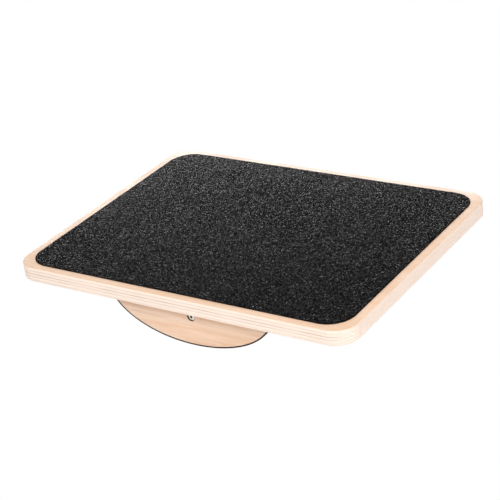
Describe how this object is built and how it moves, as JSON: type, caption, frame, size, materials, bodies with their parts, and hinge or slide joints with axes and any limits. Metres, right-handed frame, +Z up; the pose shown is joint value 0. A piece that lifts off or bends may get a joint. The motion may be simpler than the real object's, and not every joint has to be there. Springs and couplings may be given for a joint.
{
  "type": "balance board",
  "caption": "Wooden rocker-style balance board: a rounded rectangular plywood deck with a black grip sheet, standing on half-ellipse rockers that tip it along its length.",
  "frame": {"origin": "on the floor, under the middle of the deck, with the deck level", "axes": "+X along the deck's long side, which is also the way the board rocks; +Y along its short side, towards the rear rocker; +Z up"},
  "size_m": [0.4444, 0.343, 0.079],
  "materials": {
    "deck_plywood": "clear satin lacquer on birch plywood",
    "grip_sheet_black": "coarse black mineral grit bonded to a thin sheet",
    "rocker_plywood": "clear satin lacquer on birch plywood",
    "tread_rubber": "matt dark rubber strip",
    "rail_hardwood": "clear satin lacquer on solid hardwood",
    "screw_steel": "bright zinc-plated steel",
    "dowel_beech": "bare turned beech"
  },
  "bodies": {
    "root": {"deck": "deck_plywood", "grip_sheet": "grip_sheet_black", "cross_rail": "rail_hardwood", "rocker_front": "rocker_plywood", "tread_front": "tread_rubber", "rail_screw_front": "screw_steel", "deck_screw_front_1": "screw_steel", "deck_screw_front_2": "screw_steel", "deck_screw_front_3": "screw_steel", "deck_screw_front_4": "screw_steel", "deck_screw_front_5": "screw_steel", "dowel_front_1": "dowel_beech", "dowel_front_2": "dowel_beech", "rocker_rear": "rocker_plywood", "tread_rear": "tread_rubber", "rail_screw_rear": "screw_steel", "deck_screw_rear_1": "screw_steel", "deck_screw_rear_2": "screw_steel", "deck_screw_rear_3": "screw_steel", "deck_screw_rear_4": "screw_steel", "deck_screw_rear_5": "screw_steel", "dowel_rear_1": "dowel_beech", "dowel_rear_2": "dowel_beech"}
  },
  "joints": []
}
